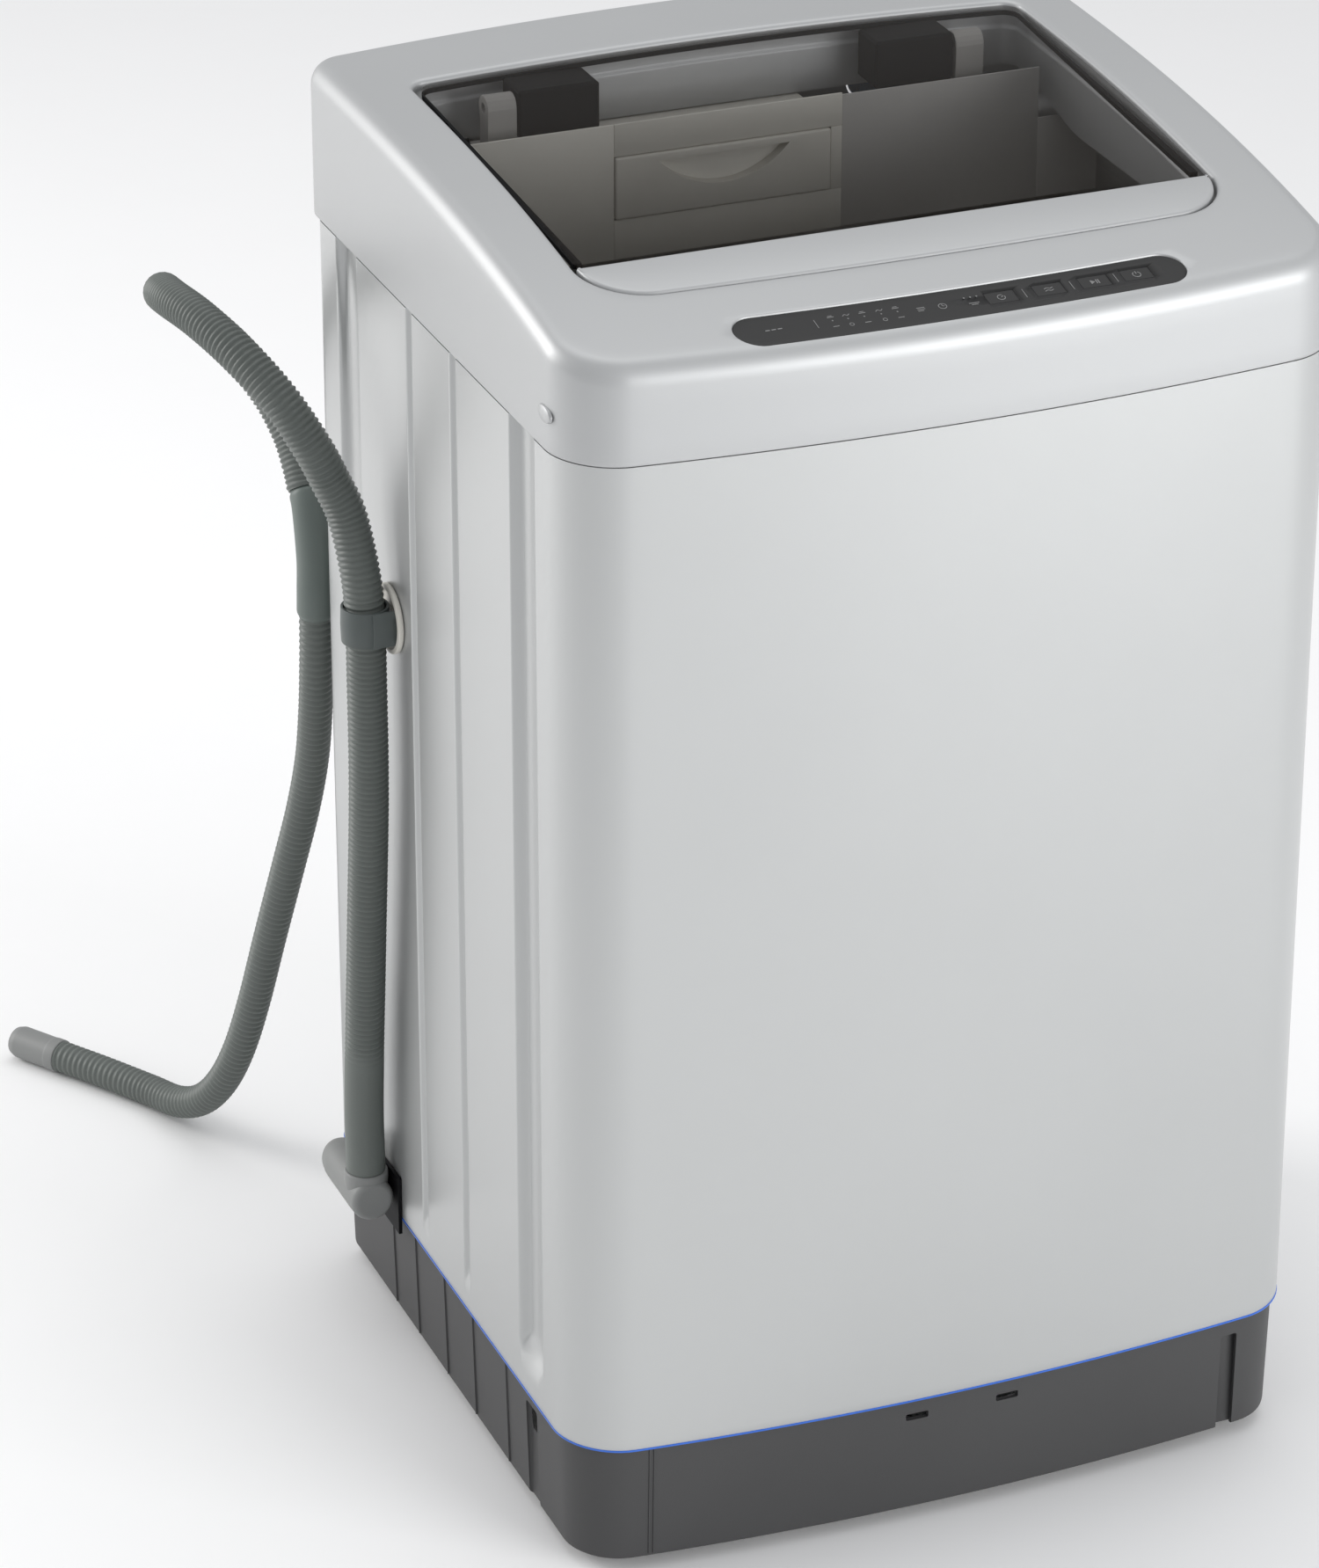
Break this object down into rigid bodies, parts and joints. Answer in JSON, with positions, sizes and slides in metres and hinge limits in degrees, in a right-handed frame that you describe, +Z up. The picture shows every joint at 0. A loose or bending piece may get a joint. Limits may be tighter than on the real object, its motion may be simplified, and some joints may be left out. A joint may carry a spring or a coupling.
{
  "type": "top load washing machine",
  "caption": "Free-standing top load washing machine with a see-through lid, touch strip, sprung tub with spinning basket and pulsator, and a corrugated drain hose.",
  "frame": {"origin": "on the floor under the middle of the machine without its hoses", "axes": "+Z up, the front faces -Y, the drain hose is on the -X side"},
  "size_m": [0.6605, 0.8437, 0.8989],
  "materials": {
    "silver_plastic": "satin silver",
    "painted_steel": "satin silver-grey paint",
    "dark_plastic": "fine matt grain",
    "black_plastic": "matt black",
    "panel": "smooth dark lens",
    "key": "smooth dark lens",
    "smoke": "smoked, see-through",
    "grey_plastic": "matt",
    "white_plastic": "matt",
    "tub_plastic": "matt, moulded",
    "stainless": "brushed stainless steel",
    "zinc_steel": "zinc plated",
    "cast_aluminium": "cast",
    "hose": "soft corrugated plastic",
    "hose_cuff": "soft plastic",
    "hose_end": "matt",
    "rubber": "matt rubber",
    "motor": "dark enamel",
    "blue_plastic": "matt"
  },
  "bodies": {
    "cabinet_body": {"cabinet": "painted_steel", "rear_cover": "painted_steel", "base": "dark_plastic", "foot_front_left": "rubber", "foot_rear_left": "rubber", "foot_rear_right": "rubber", "top_frame": "silver_plastic", "control_panel": "panel", "hinge_post_left": "grey_plastic", "hinge_post_right": "grey_plastic", "detergent_housing": "white_plastic", "inlet_valve": "blue_plastic", "inlet_pipe": "grey_plastic", "pressure_sensor": "black_plastic", "lid_switch": "grey_plastic", "control_box": "grey_plastic", "cord_gland": "black_plastic", "drain_valve": "tub_plastic", "drain_bellows": "rubber", "outlet_elbow": "hose_end", "outlet_bracket": "black_plastic", "clip_holder": "white_plastic", "hose_clip": "hose_cuff", "drain_hose": "hose", "hose_cuff": "hose_cuff", "extension_hose": "hose", "hose_end_cap": "hose_end", "suspension_rod_front_left": "zinc_steel", "suspension_rod_front_right": "zinc_steel", "suspension_rod_rear_left": "zinc_steel", "suspension_rod_rear_right": "zinc_steel", "suspension_spring_front_left": "zinc_steel", "suspension_spring_front_right": "zinc_steel", "suspension_spring_rear_left": "zinc_steel", "suspension_spring_rear_right": "zinc_steel"},
    "lid": {"lid_window": "smoke", "lid_front_strip": "silver_plastic", "lid_hinge_left": "black_plastic", "lid_hinge_right": "black_plastic"},
    "tub": {"outer_tub": "tub_plastic", "tub_cover": "tub_plastic", "clutch_gearbox": "cast_aluminium", "motor": "motor", "motor_plate": "zinc_steel", "drive_belt": "rubber"},
    "basket": {"wash_basket": "stainless", "balance_ring": "white_plastic", "basket_shaft": "zinc_steel", "filter_guide": "white_plastic"},
    "lint_filter": {"lint_filter": "white_plastic"},
    "pulsator": {"pulsator": "white_plastic", "pulsator_shaft": "zinc_steel"},
    "drive_pulley": {"drive_pulley": "cast_aluminium"},
    "motor_pulley": {"motor_pulley": "zinc_steel"},
    "drawer": {"detergent_drawer": "white_plastic"},
    "programme_key": {"programme_key": "key"},
    "water_key": {"water_key": "key"},
    "start_key": {"start_key": "key"},
    "power_key": {"power_key": "key"},
    "adjustable_foot": {"adjustable_foot": "rubber"}
  },
  "joints": [
    {"name": "lid_hinge", "type": "hinge", "parent": "cabinet_body", "child": "lid", "pos_m": [0.0181, 0.13885, 0.88], "axis": [-1, 0, 0], "range_deg": [0, 95]},
    {"name": "tub_bounce", "type": "slide", "parent": "cabinet_body", "child": "tub", "axis": [0, 0, 1], "range_m": [-0.012, 0.01], "stiffness_N_per_m": 12000, "springref_m": 0.0186, "deforming": ["suspension_spring_front_left", "suspension_spring_front_right", "suspension_spring_rear_left", "suspension_spring_rear_right", "drain_bellows"]},
    {"name": "basket_spin", "type": "hinge", "parent": "tub", "child": "basket", "pos_m": [0.0181, 0.00085, 0.3], "axis": [0, 0, 1], "continuous": true},
    {"name": "lint_filter_lift", "type": "slide", "parent": "basket", "child": "lint_filter", "axis": [0, 0, 1], "range_m": [0, 0.08]},
    {"name": "pulsator_spin", "type": "hinge", "parent": "tub", "child": "pulsator", "pos_m": [0.0181, 0.00085, 0.25], "axis": [0, 0, 1], "continuous": true},
    {"name": "drive_pulley_spin", "type": "hinge", "parent": "tub", "child": "drive_pulley", "pos_m": [0.0181, 0.00085, 0.11], "axis": [0, 0, 1], "continuous": true},
    {"name": "motor_spin", "type": "hinge", "parent": "tub", "child": "motor_pulley", "pos_m": [0.1331, -0.10415, 0.11], "axis": [0, 0, 1], "continuous": true},
    {"name": "drawer_slide", "type": "slide", "parent": "cabinet_body", "child": "drawer", "axis": [0, -1, 0], "range_m": [0, 0.085]},
    {"name": "programme_key_press", "type": "slide", "parent": "cabinet_body", "child": "programme_key", "axis": [0, 0.2212, -0.9752], "range_m": [0, 0.001], "stiffness_N_per_m": 400, "springref_m": -0.0008},
    {"name": "water_key_press", "type": "slide", "parent": "cabinet_body", "child": "water_key", "axis": [0, 0.2203, -0.9754], "range_m": [0, 0.001], "stiffness_N_per_m": 400, "springref_m": -0.0008},
    {"name": "start_key_press", "type": "slide", "parent": "cabinet_body", "child": "start_key", "axis": [0, 0.2188, -0.9758], "range_m": [0, 0.001], "stiffness_N_per_m": 400, "springref_m": -0.0008},
    {"name": "power_key_press", "type": "slide", "parent": "cabinet_body", "child": "power_key", "axis": [0, 0.2167, -0.9762], "range_m": [0, 0.001], "stiffness_N_per_m": 400, "springref_m": -0.0008},
    {"name": "foot_adjust", "type": "slide", "parent": "cabinet_body", "child": "adjustable_foot", "axis": [0, 0, 1], "range_m": [0, 0.006]}
  ],
  "couplings": [
    {"joint": "drive_pulley_spin", "follows": "pulsator_spin", "ratio": 4},
    {"joint": "motor_spin", "follows": "pulsator_spin", "ratio": 14.546}
  ]
}
